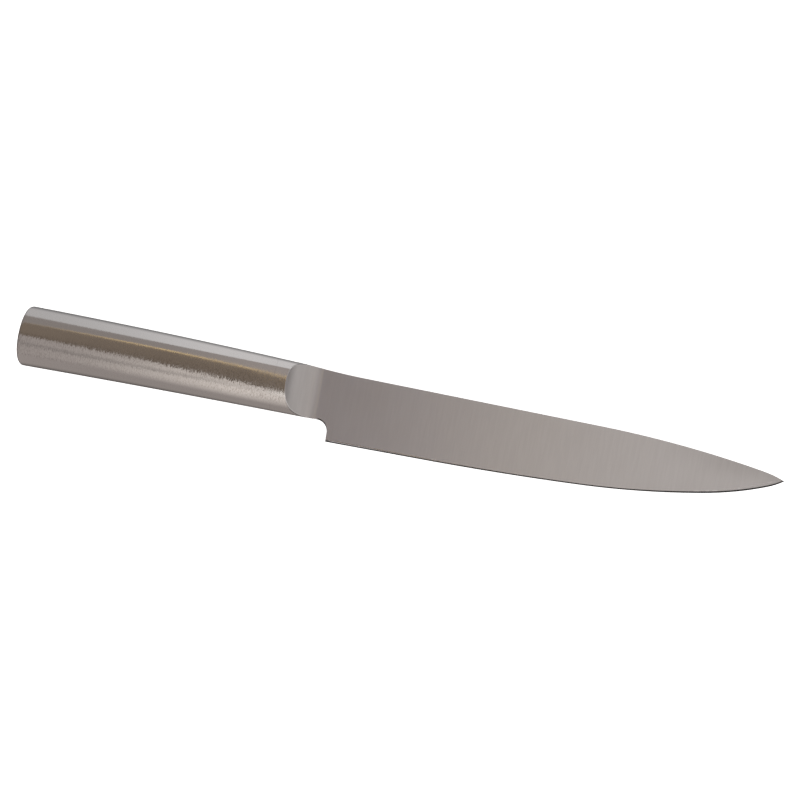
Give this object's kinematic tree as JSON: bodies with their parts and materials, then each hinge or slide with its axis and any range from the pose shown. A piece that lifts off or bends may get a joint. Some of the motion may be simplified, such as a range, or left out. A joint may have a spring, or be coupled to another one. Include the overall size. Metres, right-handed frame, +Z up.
{
  "type": "carving knife",
  "caption": "All steel carving knife: a straight backed blade with a curved belly, scooped bolster, choil and a smooth hollow oval handle with a flat butt.",
  "frame": {"origin": "on the table under the middle of the knife, which lies on its left side: the centre of the overall box, at its lowest point", "axes": "+X from the butt of the handle to the tip of the blade, +Y from the cutting edge towards the spine, +Z up through the thickness, out of the right side"},
  "size_m": [0.3358, 0.0338, 0.0215],
  "materials": {
    "blade_steel": "fine satin ground across the blade, with a polished edge bevel",
    "handle_steel": "brushed round the handle, across its length",
    "packed_sand": "fine dry sand, packed"
  },
  "bodies": {
    "root": {"blade": "blade_steel", "handle_shell_right": "handle_steel", "handle_shell_left": "handle_steel", "crown_seam_weld": "handle_steel", "belly_seam_weld": "handle_steel", "bolster_weld": "handle_steel", "butt_cap": "handle_steel", "butt_weld": "handle_steel", "balance_fill": "packed_sand"}
  },
  "joints": []
}
